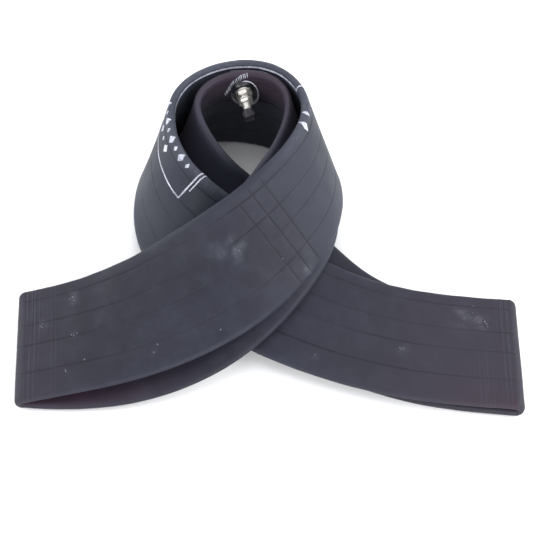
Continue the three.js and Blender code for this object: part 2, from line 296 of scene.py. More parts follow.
def fold_rings(run_from, x_from, run_to, x_to, bulge, ways):
    """Rings of points round a fold, from the end of one run to the end of the other."""
    outer_first = run_from is OUTER_RUN
    start, width, _, _ = run_sections(run_from, x_from / length_of(run_from))
    end, _, _, _ = run_sections(run_to, x_to / length_of(run_to))
    start, width, end = start[0], width[0], end[0]
    centre = (start + end) / 2
    arm = start - centre
    reach = np.linalg.norm(arm)
    away = unit(bulge - width * float(bulge @ width))
    across, out, look = outline(ways)
    first = relief(np.full(ways.shape, x_from), length_of(run_from), ways, outer_first)
    last = relief(np.full(ways.shape, x_to), length_of(run_to), ways, not outer_first)
    rings = []
    for i in range(1, FOLD_STEPS):
        turn = i * math.pi / FOLD_STEPS
        normal = arm * math.cos(turn) + away * reach * math.sin(turn)
        middle = centre + normal
        normal = normal / np.linalg.norm(normal)
        share = i / FOLD_STEPS
        ripple = 0.06 * math.sin(4 * turn) * waves(ways / 9, ways * 0, 77)
        stand = first * (1 - share) + last * share + ripple
        sideways = (across + stand * look[:, 0])[:, None] * width
        rings.append(middle + sideways + (out + stand * look[:, 1])[:, None] * normal)
    return rings


# ---- Making mesh objects ----

def mesh_object(name, points, faces, body, replaces=()):
    """A smooth mesh object from points in metres, riding on a CAD body."""
    mesh = bpy.data.meshes.new(name)
    mesh.from_pydata([tuple(point) for point in points], [], faces)
    mesh.validate()
    for polygon in mesh.polygons:
        polygon.use_smooth = True
    piece = bpy.data.objects.new(name, mesh)
    bpy.context.scene.collection.objects.link(piece)
    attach(piece, body)
    if replaces:
        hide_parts(*replaces)
    return piece


def loop_faces(rings, count, closed_rings):
    """Quads between rings of count points, each ring closed on itself."""
    faces = []
    for i in range(rings if closed_rings else rings - 1):
        here, after = i * count, ((i + 1) % rings) * count
        for k in range(count):
            other = (k + 1) % count
            faces.append((here + k, here + other, after + other, after + k))
    return faces


def paint(piece, name, values):
    """A value at each point, for the materials to read."""
    layer = piece.data.attributes.new(name, "FLOAT", "POINT")
    layer.data.foreach_set("value", np.asarray(values, np.float32))


def sharp_edges(piece, degrees):
    """Smooth shading, but with a crisp edge wherever two faces meet at more than this angle."""
    piece.data.set_sharp_from_angle(angle=math.radians(degrees))


# ---- The tube ----

# Powdery scuffs on the outer run: share, way round, radius in millimetres, strength.
SCUFFS = (
    (0.048, 33, 5, 0.3),
    (0.047, -1, 2.6, 0.15),
    (0.115, -33, 2.4, 0.15),
    (0.83, -34, 3.2, 0.15),
    (0.972, 25, 6, 0.3),
    (0.018, 14, 4, 0.2),
    (0.075, 8, 5, 0.12),
    (0.215, 12, 9, 0.3),
    (0.2, 18, 6, 0.25),
    (0.9, -8, 5, 0.12),
    (0.955, 30, 9, 0.2),
    (0.255, -42, 5, 0.25),
)
# Small pale crumbs on the outer run: share, way round, reach of the cluster, how many.
SPECKS = (
    (0.048, 33, 4.5, 9),
    (0.047, -1, 1.8, 3),
    (0.051, 0, 1.2, 2),
    (0.1146, -33, 0.6, 2),
    (0.12, -28, 0.8, 1),
    (0.83, -34, 0.5, 2),
    (0.978, 25, 3.5, 8),
    (0.055, -24, 1.5, 2),
    (0.04, -31, 1.5, 2),
    (0.018, 14, 3, 4),
    (0.243, -20, 1.0, 3),
    (0.36, 20, 1.5, 3),
    (0.215, 12, 7, 2),
    (0.9, -8, 2, 3),
    (0.965, 34, 6, 6),
    (0.17, -38, 1, 2),
)


def dust_and_crest_light(x, way, outer):
    """Powder left on the rubber, with painted light on the crests of the creases by the folds, 0 to 1."""
    length = OUTER_LENGTH if outer else INNER_LENGTH
    haze_and_painted_light = np.clip(waves(x / 22, way / 16, 21 if outer else 22) - 0.95, 0, 1) * 0.1
    # Painted light on the crests of the creases by the folds.
    haze_and_painted_light = haze_and_painted_light + 0.16 * np.clip(striation(x, length, way, outer), 0, 1)
    if outer:
        for share, across, radius, strength in SCUFFS:
            away = ((x - share * OUTER_LENGTH) ** 2 + (way - across) ** 2) / radius ** 2
            broken = 0.5 + 0.6 * waves(x / 2.4, way / 2.4, int(share * 1000))
            haze_and_painted_light = haze_and_painted_light + strength * np.exp(-away) * np.clip(broken, 0, 1)
    return np.clip(haze_and_painted_light, 0, 1)


def edge_band(way, middle, reach):
    """A soft band round both edges of the section, 1 at its middle."""
    return np.exp(-(((np.abs(way) - middle) / reach) ** 2))


def painted_line_shade(x, way, length, outer):
    """Painted shade in the moulded lines, and in the creases by the folds."""
    # Painted shade in the troughs of the creases.
    crease_shade = 0.3 * np.clip(-striation(x, length, way, outer), 0, 1)
    return np.maximum(line_strength(x, way, outer), crease_shade)


def powder_and_painted_light_values(x, way):
    """Powder on the outer run, with painted light on the loop's inner face and a painted highlight along its
    rim.
    """
    share = x / OUTER_LENGTH
    in_loop = smoothstep((share - 0.26) / 0.1) * smoothstep((0.78 - share) / 0.1)
    patchy = 0.85 + 0.3 * waves(x / 30, way / 20, 93)
    # Painted light on the loop's inner face, and a painted highlight along its rim.
    lit_inner_face = 0.26 * smoothstep((np.abs(way) - 58) / 6)
    rim = 0.19 * edge_band(way, 50, 5)
    return np.maximum(dust_and_crest_light(x, way, True), in_loop * patchy * np.maximum(lit_inner_face, rim))


def tail_values(x):
    """Purplish rubber towards the two ends of the outer run."""
    right_end = smoothstep((x - 0.8 * OUTER_LENGTH) / (0.2 * OUTER_LENGTH))
    return np.maximum(right_end, smoothstep(1 - x / (0.1 * OUTER_LENGTH)) * 0.6)


def outer_painted_light(x, way):
    """Painted light on the outside of the loop, a painted highlight along the edges and painted light on the
    inner face.
    """
    share = x / OUTER_LENGTH
    loop = smoothstep((share - 0.235) / 0.09) * smoothstep((0.78 - share) / 0.1)
    cloudy = 0.75 + 0.3 * waves(x / 45, way / 30, 90)
    edge_highlight = 0.8 * edge_band(way, 49, 4.5) * (0.35 + 0.65 * loop)
    lit_inside = 0.8 * smoothstep((np.abs(way) - 60) / 6)
    return np.clip(np.maximum.reduce([loop * cloudy, edge_highlight, lit_inside]), 0, 1)


def inner_painted_light(x, way):
    """Painted light on the inner run's part of the loop, with a painted highlight along its upper edge, but
    not high on its wall, which keeps a painted shade.
    """
    share = x / INNER_LENGTH
    loop = smoothstep((share - 0.24) / 0.1) * smoothstep((0.8 - share) / 0.1)
    upper_edge_highlight = 0.35 * np.exp(-(((way - 50) / 5) ** 2))
    glow = np.maximum(upper_edge_highlight, 0.95 * loop * (0.85 + 0.2 * waves(x / 40, way / 25, 94)))
    # High on the wall the painted light is cut back, leaving painted shade.
    shaded_upper_wall = smoothstep((way - 6) / 24) * smoothstep((48 - way) / 4)
    return np.clip(glow * (1 - 0.8 * shaded_upper_wall), 0, 1)


def inside_fold(share, way):
    """The inner faces of a run near the left fold, 0 to 1."""
    return smoothstep((np.abs(way) - FLAT_HALF - 6) / 8) * smoothstep((0.2 - share) / 0.2)


def outer_warm(x, way):
    """Painted reddish shade inside the left fold, and a reddish tint low down at the right end."""
    share = x / OUTER_LENGTH
    low_end = smoothstep((share - 0.88) / 0.14) * smoothstep((-5 - way) / 55)
    low_end = low_end * np.clip(0.6 + 0.4 * waves(x / 9, way / 12, 91), 0, 1)
    return np.maximum(inside_fold(share, way), low_end)


def inner_warm(x, way):
    """Painted reddish shade inside the left fold and high on the wall behind the valve."""
    share = x / INNER_LENGTH
    # Painted reddish shade high on the wall behind the valve.
    behind_valve = 0.85 * smoothstep((way - 8) / 26) * np.exp(-(((share - 0.47) / 0.1) ** 2))
    return np.maximum(inside_fold(share, way), behind_valve)


def make_tube():
    """The whole skin of the tube as one closed belt of rings, with its painted values."""
    ways = ways_round()
    x_out, way_out = np.meshgrid(places_along(OUTER_LENGTH, True), ways, indexing="ij")
    x_back, way_back = np.meshgrid(places_along(INNER_LENGTH, False)[::-1], ways, indexing="ij")
    outer = run_points(OUTER_RUN, x_out, way_out)
    inner = run_points(INNER_RUN, x_back, way_back)
    ahead = run_sections(OUTER_RUN, 1.0)[3][0]
    behind = -run_sections(OUTER_RUN, 0.0)[3][0]
    right = fold_rings(OUTER_RUN, OUTER_LENGTH, INNER_RUN, INNER_LENGTH, ahead, ways)
    left = fold_rings(INNER_RUN, 0.0, OUTER_RUN, 0.0, behind, ways)
    rings = [*outer, *right, *inner, *left]
    points = np.vstack(rings) * MM + SHIFT
    points[:, 2] = np.maximum(points[:, 2], 0)
    faces = loop_faces(len(rings), len(ways), closed_rings=True)
    piece = mesh_object("rubber_tube", points, faces, "tube_and_stem", ("tube",))
    fold = np.zeros((FOLD_STEPS - 1, len(ways)))
    inner_tail = smoothstep((x_back - 0.8 * INNER_LENGTH) / (0.2 * INNER_LENGTH))
    # For each value: the outer run, the right fold, the inner run and the left fold.
    painted = {
        # Painted shade in the moulded grooves and the creases.
        "line": (painted_line_shade(x_out, way_out, OUTER_LENGTH, True), fold,
                 painted_line_shade(x_back, way_back, INNER_LENGTH, False), fold),
        "powder_and_painted_light": (powder_and_painted_light_values(x_out, way_out), fold, dust_and_crest_light(x_back, way_back, False), fold),
        "tail": (tail_values(x_out), fold + 1, inner_tail, fold + 0.6),
        # Painted light on the loop's walls, its rims and the folds.
        "haze_and_painted_light": (outer_painted_light(x_out, way_out), fold + 0.2, inner_painted_light(x_back, way_back), fold + 0.25),
        # Painted reddish shade in the left fold and behind the valve.
        "reddish_shade_and_tint": (outer_warm(x_out, way_out), fold, inner_warm(x_back, way_back), fold),
    }
    for name, values in painted.items():
        paint(piece, name, np.vstack(values).ravel())
    return piece


# ---- The white print ----

INK_LIFT = 0.13  # how far the ink stands out of the rubber
INK_ROOT = -0.25  # and how far its edges reach in


def smooth_path(corners, spacing=0.8):
    """Points at an even spacing along straight lines between corners."""
    corners = np.array(corners, float)
    out = []
    for here, there in zip(corners, corners[1:]):
        steps = max(1, int(np.linalg.norm(there - here) / spacing))
        out += [here + (there - here) * i / steps for i in range(steps)]
    return np.array([*out, corners[-1]])


def ribbon(run, corners, width, seed, taper=None):
    """Points and faces of a thin raised strip of ink along a path of (x, way round) corners."""
    path = smooth_path(corners)
    along = unit(np.gradient(path, axis=0))
    sideways = np.stack([-along[:, 1], along[:, 0]], -1)
    rng = np.random.default_rng(seed)
    rough = rng.uniform(-1, 1, (len(path), 2)) * 0.09 * min(width, 1.6)
    wave = 1 + 0.1 * np.sin(np.arange(len(path)) * 0.37 + seed)
    if taper:
        wave = wave * taper(np.linspace(0, 1, len(path)))
        rough = rough * 0.4
    rings = []
    side = INK_LIFT - 0.03
    profile = ((-0.5, INK_ROOT), (-0.5, side), (0, INK_LIFT), (0.5, side), (0.5, INK_ROOT))
    for across, height in profile:
        edge = rough[:, 0] if across < 0 else rough[:, 1]
        reach = across * width * wave + (edge if across else 0)
        flat = path + sideways * reach[:, None]
        rings.append(run_points(run, flat[:, 0], flat[:, 1], lift=height))
    points = np.stack(rings, 1)
    count = len(profile)
    faces = loop_faces(len(path), count, closed_rings=False)
    faces.append(tuple(range(count))[::-1])
    last = (len(path) - 1) * count
    faces.append(tuple(last + k for k in range(count)))
    return points.reshape(-1, 3), faces


def ink_object(name, strips):
    """Strips from ribbon() as one object on the tube."""
    points, faces, start = [], [], 0
    for strip_points, strip_faces in strips:
        points.append(strip_points * MM + SHIFT)
        faces += [tuple(index + start for index in face) for face in strip_faces]
        start += len(strip_points)
    piece = mesh_object(name, np.vstack(points), faces, "tube_and_stem")
    sharp_edges(piece, 50)
    return piece


def outer_x(share):
    return share * OUTER_LENGTH


def inner_x(share):
    return share * INNER_LENGTH


# The frame: its line's width, its two ends as shares of the outer run, and its edges' way round.
FRAME_LINE = 1.35
FRAME_RIGHT = 0.389
FRAME_LEFT = 0.651
FRAME_LOW = 17.0
FRAME_HIGH = 57.5


def make_frame_print():
    """A plain frame round the marks, on the back of the loop."""
    left_outer = outer_x(FRAME_LEFT)
    right = outer_x(FRAME_RIGHT)
    top = [(right, FRAME_HIGH), (outer_x(0.604), FRAME_HIGH)]
    left = [(left_outer, 52.5), (left_outer, FRAME_LOW), (right, FRAME_LOW), (right, FRAME_HIGH)]
    second = [(left_outer + 3.6, 53.5), (left_outer + 3.4, 30)]
    thin = [(outer_x(0.44), 61.5), (outer_x(0.485), 61.5)]
    strips = [
        ribbon(OUTER_RUN, top, FRAME_LINE * 1.2, 1),
        ribbon(OUTER_RUN, left, FRAME_LINE, 2),
        ribbon(OUTER_RUN, second, FRAME_LINE * 0.8, 3),
        ribbon(OUTER_RUN, thin, FRAME_LINE * 0.6, 4),
    ]
    return ink_object("print_frame", strips)


def diamond(share):
    """Width of a solid mark that is pointed at both ends."""
    return 0.06 + 0.94 * (1 - np.abs(2 * share - 1))


def leaf(share):
    """Width of a solid mark that is round at both ends."""
    return 0.1 + 0.9 * np.sqrt(np.clip(1 - (2 * share - 1) ** 2, 0, 1))


def make_mark_print():
    """Two rows of solid diamonds inside the frame, large and small in turn, and two more beside it."""
    strips = []

    def add_diamond(share, way, half, width, seed):
        x = outer_x(share)
        strips.append(ribbon(OUTER_RUN, [(x, way - half), (x, way + half)], width, seed, taper=diamond))

    rows = ((8, 0.5685, 0.0098, 46.0, 20), (5, 0.5645, 0.0108, 32.5, 40))
    for count, first, step, way, seed in rows:
        for i in range(count):
            half, width = (4.6, 6.4) if i % 2 == 0 else (2.7, 3.6)
            add_diamond(first + step * i, way, half, width, seed + i)
    add_diamond(0.349, 48.5, 4.2, 4.4, 60)
    add_diamond(0.335, 46.0, 6.4, 5.6, 62)
    return ink_object("print_marks", strips)


def make_specks():
    """Powdery crumbs and crumbs of rubber that cling to the band in small clusters."""
    rng = np.random.default_rng(7)
    strips = []
    for share, across, reach, count in SPECKS:
        for _ in range(count):
            x = share * OUTER_LENGTH + rng.normal(0, 0.5 * reach)
            way = across + rng.normal(0, 0.5 * reach)
            turn = rng.uniform(0, math.pi)
            half = rng.uniform(0.2, 0.6)
            ends = [(x - half * math.cos(turn), way - half * math.sin(turn)),
                    (x + half * math.cos(turn), way + half * math.sin(turn))]
            width = rng.uniform(0.35, 0.8)
            strips.append(ribbon(OUTER_RUN, smooth_path(ends, 0.25), width, 100, taper=leaf))
    return ink_object("powder_specks", strips)


def make_tick_row():
    """A slanting row of short white dashes beside the valve, bent round its dome."""
    strips = []
    path = smooth_path([(inner_x(0.5067), 27), (inner_x(0.5015), 34), (inner_x(0.4975), 41),
                        (inner_x(0.4895), 46), (inner_x(0.4817), 48.5)], spacing=0.5)
    count = 18
    for i in range(count):
        x, way = path[int((i + 0.5) / count * (len(path) - 1))]
        length = 5.6 * (0.7 + 0.3 * math.sin(math.pi * (i + 0.5) / count))
        dash = [(x - 0.1 * length, way - length / 2), (x + 0.1 * length, way + length / 2)]
        strips.append(ribbon(INNER_RUN, dash, 0.62, 80 + i))
    return ink_object("print_ticks", strips)


# ---- Pieces turned about the valve's axis ----

def valve_frame():
    """Where the valve stands: the foot of its axis on the rubber's face, and its turning frame."""
    place = Vector(JOINTS["base_nut_turn"]["pos_m"])
    turn = Vector((0, 0, 1)).rotation_difference(VALVE_AXIS).to_matrix().to_4x4()
    return Matrix.Translation(place) @ turn


def on_valve(points):
    """From the valve's own millimetres to metres in the CAD's frame."""
    return [VALVE @ (Vector(point) * MM) for point in points]


def turned_rings(profile, sides, radius_at=None):
    """Rings of points about +Z from (radius, height) pairs."""
    rings = []
    for k, (radius, height) in enumerate(profile):
        ring = []
        for i in range(sides):
            angle = 2 * math.pi * i / sides
            size = radius if radius_at is None else radius_at(k, radius, height, angle)
            ring.append((size * math.cos(angle), size * math.sin(angle), height))
        rings.append(ring)
    return rings


def ring_object(name, rings, body, replaces, degrees=35):
    """A closed ring of rings, such as a turned profile with a bore."""
    points = [point for ring in rings for point in ring]
    faces = loop_faces(len(rings), len(rings[0]), closed_rings=True)
    piece = mesh_object(name, on_valve(points), faces, body, replaces)
    make_outward(piece)
    sharp_edges(piece, degrees)
    return piece


def make_outward(piece):
    """Every face of a closed piece turned outwards."""
    shape = bmesh.new()
    shape.from_mesh(piece.data)
    bmesh.ops.recalc_face_normals(shape, faces=shape.faces)
    shape.to_mesh(piece.data)
    shape.free()


def rounded(corners, radius):
    """A profile with each corner rounded off, as a list of (radius, height) pairs."""
    steps = 3
    out = []
    count = len(corners)
    for i in range(count):
        here = np.array(corners[i], float)
        before = np.array(corners[i - 1], float)
        after = np.array(corners[(i + 1) % count], float)
        size = min(radius, np.linalg.norm(before - here) / 2.2, np.linalg.norm(after - here) / 2.2)
        start = here + unit(before - here) * size
        end = here + unit(after - here) * size
        for k in range(steps + 1):
            t = k / steps
            out.append(tuple((1 - t) ** 2 * start + 2 * t * (1 - t) * here + t * t * end))
    return out


def make_washer(name, node, body, bottom, top, radius):
    """A flat washer with rounded corners."""
    corners = [(NUT_BORE, bottom), (radius, bottom), (radius, top), (NUT_BORE, top)]
    rings = turned_rings(rounded(corners, 0.22), 64)
    return ring_object(name, rings, body, (node,))


def make_nut(name, node, body, bottom, top, flats):
    """A hexagon nut whose corners are turned off at both faces and whose bore is countersunk."""
    face = flats / 2 * 0.955  # radius of the round flat at each face
    slope = 0.58  # how steeply the corners fall away outside it
    sink = 0.45  # width and depth of the countersink

    def hexagon(angle):
        off = (angle + math.pi / 6) % (math.pi / 3) - math.pi / 6
        return flats / 2 / math.cos(off)

    rings = []
    sides = 96
    turns = [2 * math.pi * i / sides for i in range(sides)]
    for kind in ("bore_low", "face_low", "side_low", "side_high", "face_high", "bore_high"):
        ring = []
        for angle in turns:
            corner = hexagon(angle)
            drop = max(0.0, corner - face) * slope
            size, height = {
                "bore_low": (NUT_BORE + sink, bottom),
                "face_low": (face, bottom),
                "side_low": (corner, bottom + drop),
                "side_high": (corner, top - drop),
                "face_high": (face, top),
                "bore_high": (NUT_BORE + sink, top),
            }[kind]
            ring.append((size * math.cos(angle), size * math.sin(angle), height))
        rings.append(ring)
    for height in (top - sink, bottom + sink):
        rings.append([(NUT_BORE * math.cos(angle), NUT_BORE * math.sin(angle), height) for angle in turns])
    return ring_object(name, rings, body, (node,), degrees=22)


def make_stem():
    """The threaded stem with its flange below and its bore, with the thread cut as a real screw."""
    thread_low, thread_high = FLANGE_TOP + 0.5, STEM_MOUTH - 0.5
    reach = thread_high - thread_low
    depth = 0.34  # of the thread
    steps_per_turn = 7
    core_bore, seat_bore, outlet = 2.65, 2.2, 1.6
    profile = [(outlet, FLANGE_BOTTOM), (FLANGE_RADIUS, FLANGE_BOTTOM), (FLANGE_RADIUS, FLANGE_TOP),
               (THREAD_RADIUS - depth, FLANGE_TOP)]
    steps = int(reach / THREAD_PITCH * steps_per_turn)
    first = len(profile)
    profile += [(THREAD_RADIUS, thread_low + reach * i / steps) for i in range(steps + 1)]
    last = len(profile)
    mouth = STEM_MOUTH
    profile += [(THREAD_RADIUS - 0.6, mouth), (core_bore, mouth), (core_bore, mouth - 11.4),
                (seat_bore, mouth - 12.2), (seat_bore, mouth - 19.1), (outlet, mouth - 19.1)]

    def radius_at(k, radius, height, angle):
        if not first <= k < last:
            return radius
        phase = height / THREAD_PITCH - angle / (2 * math.pi)
        ridge = abs((phase % 1) * 2 - 1)
        fade = min(1.0, (height - thread_low) / 0.8, (thread_high - height) / 0.8)
        return radius - depth * (1 - fade * smoothstep(ridge * 1.15))

    rings = turned_rings(profile, 48, radius_at)
    return ring_object("threaded_stem", rings, "tube_and_stem", ("valve_stem",), 60)


def make_cap():
    """The dust cap, with grip ribs round it and a rounded end."""
    ribs = 20
    groove_depth = 0.42
    low, tip = CAP_SKIRT, CAP_TIP
    outside = [(5.0, low), (5.2, low + 0.3), (5.3, low + 0.9), (5.3, low + 1.4)]
    outside += [(5.3, low + 1.4 + (tip - low - 3.9) * i / 6) for i in range(1, 7)]
    outside += [(5.25, tip - 1.9), (5.1, tip - 1.2), (4.7, tip - 0.55), (3.9, tip - 0.12)]
    outside += [(2.6, tip), (0.02, tip)]
    inside = [(0.02, STEM_MOUTH + 2.8), (2.0, STEM_MOUTH + 2.8), (2.0, STEM_MOUTH + 1.4),
              (NUT_BORE, STEM_MOUTH + 1.4), (NUT_BORE, low + 0.3), (NUT_BORE + 0.3, low)]

    def radius_at(k, radius, height, angle):
        shown = smoothstep((height - low - 1.2) / 0.7) * smoothstep((tip - 1.6 - height) / 0.9)
        if k >= len(outside):
            shown = 0
        groove = max(0.0, math.cos(ribs * angle)) ** 0.7
        return radius - groove_depth * shown * groove

    rings = turned_rings(outside + inside, 160, radius_at)
    return ring_object("ribbed_cap", rings, "cap", ("cap_shell",), degrees=40)


def make_valve_base():
    """The moulded rubber base: an oval foot with a raised rim on the wall, and a dome under the nut."""
    sides = 96
    angles = 2 * math.pi * np.arange(sides) / sides
    dome = [(3.95, 1.9), (3.95, SEAT - 0.25), (4.2, SEAT), (7.0, SEAT), (7.6, SEAT - 0.12),
            (8.3, SEAT - 0.6), (8.9, 2.1), (9.4, 1.4)]
    rings = [np.array(on_valve([(radius * math.cos(a), radius * math.sin(a), height) for a in angles]))
             for radius, height in dome]
    place = run_sections(INNER_RUN, VALVE_PLACE)
    width, along = place[1][0], place[3][0]
    turn = np.array(VALVE.to_3x3())
    reach = np.outer(np.cos(angles), turn[:, 0]) + np.outer(np.sin(angles), turn[:, 1])
    way_out = unit(np.stack([reach @ along, reach @ width], -1))
    centre = np.array((inner_x(PAD_PLACE), PAD_ABOVE_MIDDLE))
    half = np.array((PAD_HALF_WIDTH, PAD_HALF_LENGTH))
    start = np.array((inner_x(VALVE_PLACE), VALVE_ABOVE_MIDDLE)) - centre
    ray = way_out / half
    slant = (ray * (start / half)).sum(1)
    level = (ray ** 2).sum(1)
    short = 1 - ((start / half) ** 2).sum()
    reach_rim = (-slant + np.sqrt(slant ** 2 + level * short)) / level
    # The foot's face and rim: share of the way out from the dome, and height above the plain rubber.
    rim = [(0.0, 1.0), (0.45, 0.95), (0.7, 1.0), (0.8, 1.5), (0.88, 1.85), (0.96, 1.8), (0.995, 1.2),
           (1.0, 0.5), (1.0, -0.8)]
    inner = 10.2  # where the foot's face starts, from the valve's axis
    under_dome = 8.6
    places = [(np.maximum(inner + (reach_rim - inner) * share, under_dome), height) for share, height in rim]
    places.append((np.full(sides, under_dome), -0.9))
    for distance, height in places:
        flat = start + centre + way_out * distance[:, None]
        ring = run_points(INNER_RUN, flat[:, 0], flat[:, 1], lift=height, plain=True)
        rings.append(ring * MM + SHIFT)
    faces = loop_faces(len(rings), sides, closed_rings=True)
    piece = mesh_object("valve_base_dome", np.vstack(rings), faces, "tube_and_stem",
                        ("valve_base",))
    # A painted highlight on the raised rim, brightest above and towards the start of the run.
    rim_highlight_mask = np.zeros((len(rings), sides))
    lit_side = np.clip(way_out[:, 1] * 0.6 - way_out[:, 0] * 0.8, 0, 1)
    rim_highlight_mask[len(dome) + 3:len(dome) + 7] = 0.35 + 0.65 * lit_side
    paint(piece, "wear_and_painted_highlight", rim_highlight_mask.ravel())
    make_outward(piece)
    sharp_edges(piece, 60)
    return piece


# ---- Materials ----

def socket_value(shader, name, value):
    """A constant on one of the shader's sockets."""
    shader.inputs[name].default_value = value


def rgb(red, green, blue):
    """Linear colour from screen values of 0 to 255."""
    return tuple(((v / 255 + 0.055) / 1.055) ** 2.4 if v > 10 else v / 255 / 12.92
                 for v in (red, green, blue)) + (1.0,)


class Paint:
    """A small helper for building one material's nodes."""

    def __init__(self, name):
        self.material = bpy.data.materials.new(name)
        self.material.use_nodes = True
        self.tree = self.material.node_tree
        self.shader = self.tree.nodes["Principled BSDF"]
        self.place = self.tree.nodes.new("ShaderNodeTexCoord").outputs["Object"]

    def link(self, source, target):
        self.tree.links.new(source, target)

    def noise(self, scale, detail, roughness=0.5):
        node = self.tree.nodes.new("ShaderNodeTexNoise")
        node.inputs["Scale"].default_value = scale
        node.inputs["Detail"].default_value = detail
        node.inputs["Roughness"].default_value = roughness
        self.link(self.place, node.inputs["Vector"])
        return node.outputs["Fac"]

    def attribute(self, name):
        node = self.tree.nodes.new("ShaderNodeAttribute")
        node.attribute_name = name
        return node.outputs["Fac"]

    def ramp(self, value, low, high, start=0.0, end=1.0):
        node = self.tree.nodes.new("ShaderNodeMapRange")
        for name, number in (("From Min", low), ("From Max", high), ("To Min", start), ("To Max", end)):
            node.inputs[name].default_value = number
        self.link(value, node.inputs["Value"])
        return node.outputs["Result"]

    def math(self, operation, first, second):
        node = self.tree.nodes.new("ShaderNodeMath")
        node.operation = operation
        for index, item in enumerate((first, second)):
            if isinstance(item, (int, float)):
                node.inputs[index].default_value = item
            else:
                self.link(item, node.inputs[index])
        return node.outputs["Value"]

    def mix(self, factor, first, second):
        node = self.tree.nodes.new("ShaderNodeMix")
        node.data_type = "RGBA"
        for socket, item in ((node.inputs[0], factor), (node.inputs[6], first), (node.inputs[7], second)):
            if isinstance(item, (tuple, float)):
                socket.default_value = item
            else:
                self.link(item, socket)
        return node.outputs[2]

    def colour(self, source):
        self.link(source, self.shader.inputs["Base Color"])

    def roughness(self, source):
        self.link(source, self.shader.inputs["Roughness"])

    def bump(self, height, distance, strength):
        node = self.tree.nodes.new("ShaderNodeBump")
        node.inputs["Strength"].default_value = strength
        node.inputs["Distance"].default_value = distance
        self.link(height, node.inputs["Height"])
        self.link(node.outputs["Normal"], self.shader.inputs["Normal"])

    def put_on(self, piece):
        piece.data.materials.clear()
        piece.data.materials.append(self.material)


def tube_rubber():
    """Dark bluish butyl rubber, cloudy and powdery, with painted light on the loop, painted shade in the
    moulded lines and creases, and a reddish painted shade in the left fold and behind the valve.
    """
    paint_box = Paint("butyl_rubber")
    base = paint_box.mix(paint_box.ramp(paint_box.noise(9, 4), 0.35, 0.65), rgb(26, 27, 38), rgb(33, 34, 46))
    # Painted light: paler blue where the loop's walls, rims and folds are lit.
    base = paint_box.mix(paint_box.attribute("haze_and_painted_light"), base, rgb(46, 49, 61))
    patches = paint_box.ramp(paint_box.noise(55, 5, 0.6), 0.45, 0.75, 0, 0.35)
    base = paint_box.mix(patches, base, rgb(50, 53, 64))
    base = paint_box.mix(paint_box.math("MULTIPLY", paint_box.attribute("tail"), 0.7), base, rgb(44, 39, 49))
    # Painted reddish shade inside the left fold and behind the valve, and a reddish tint low at the right
    # end.
    base = paint_box.mix(paint_box.math("MULTIPLY", paint_box.attribute("reddish_shade_and_tint"), 0.75), base, rgb(52, 34, 47))
    grain = paint_box.noise(1400, 3, 0.6)
    broken = paint_box.ramp(paint_box.noise(320, 4, 0.65), 0.42, 0.62)
    # Powder, with painted light on the crests, on the loop's inner face and along its rim.
    powder_and_painted_light = paint_box.math("MULTIPLY", paint_box.attribute("powder_and_painted_light"), paint_box.ramp(broken, 0, 1, 0.45, 1))
    base = paint_box.mix(powder_and_painted_light, base, rgb(128, 134, 146))
    # Painted shade: the moulded grooves and the creases are darkened.
    base = paint_box.mix(paint_box.math("MULTIPLY", paint_box.attribute("line"), 0.9), base, rgb(14, 14, 20))
    paint_box.colour(base)
    paint_box.roughness(paint_box.ramp(paint_box.noise(40, 4, 0.6), 0.3, 0.7, 0.5, 0.64))
    socket_value(paint_box.shader, "Specular IOR Level", 0.25)
    socket_value(paint_box.shader, "Sheen Weight", 0.02)
    socket_value(paint_box.shader, "Sheen Roughness", 0.45)
    paint_box.bump(grain, 0.00012, 0.5)
    return paint_box


def base_rubber():
    """Glossier black rubber with a slight orange-peel skin and a pale painted highlight on its rim."""
    paint_box = Paint("valve_base_rubber")
    cloud = paint_box.ramp(paint_box.noise(160, 4), 0.35, 0.7)
    base = paint_box.mix(cloud, rgb(20, 20, 27), rgb(38, 39, 50))
    # The rim's painted highlight, broken up by the cloud.
    painted_rim_highlight = paint_box.math("MULTIPLY", paint_box.attribute("wear_and_painted_highlight"), paint_box.ramp(cloud, 0, 1, 0.7, 1.0))
    paint_box.colour(paint_box.mix(painted_rim_highlight, base, rgb(226, 226, 240)))
    paint_box.roughness(paint_box.ramp(paint_box.noise(300, 3), 0.3, 0.7, 0.2, 0.34))
    socket_value(paint_box.shader, "Specular IOR Level", 0.6)
    paint_box.bump(paint_box.noise(900, 2), 0.00008, 0.4)
    return paint_box


def ink():
    """Thick white ink, thinned by wear and dirty in patches."""
    paint_box = Paint("worn_white_ink")
    wear_and_painted_highlight = paint_box.ramp(paint_box.noise(420, 5, 0.7), 0.5, 0.66)
    dirt = paint_box.ramp(paint_box.noise(60, 4, 0.6), 0.35, 0.7)
    clean = paint_box.mix(dirt, rgb(206, 208, 219), rgb(158, 160, 175))
    paint_box.colour(paint_box.mix(paint_box.math("MULTIPLY", wear_and_painted_highlight, 0.9), clean, rgb(88, 90, 104)))
    paint_box.roughness(paint_box.ramp(dirt, 0, 1, 0.5, 0.7))
    paint_box.bump(paint_box.noise(700, 3), 0.0001, 0.5)
    return paint_box


def powder_crumbs():
    """Pale grey and powdery, lumpy and matt."""
    paint_box = Paint("powder_crumbs")
    lump = paint_box.ramp(paint_box.noise(900, 4, 0.7), 0.35, 0.7)
    paint_box.colour(paint_box.mix(lump, rgb(138, 141, 155), rgb(88, 91, 104)))
    paint_box.roughness(paint_box.ramp(lump, 0, 1, 0.75, 0.9))
    paint_box.bump(lump, 0.0001, 0.6)
    return paint_box


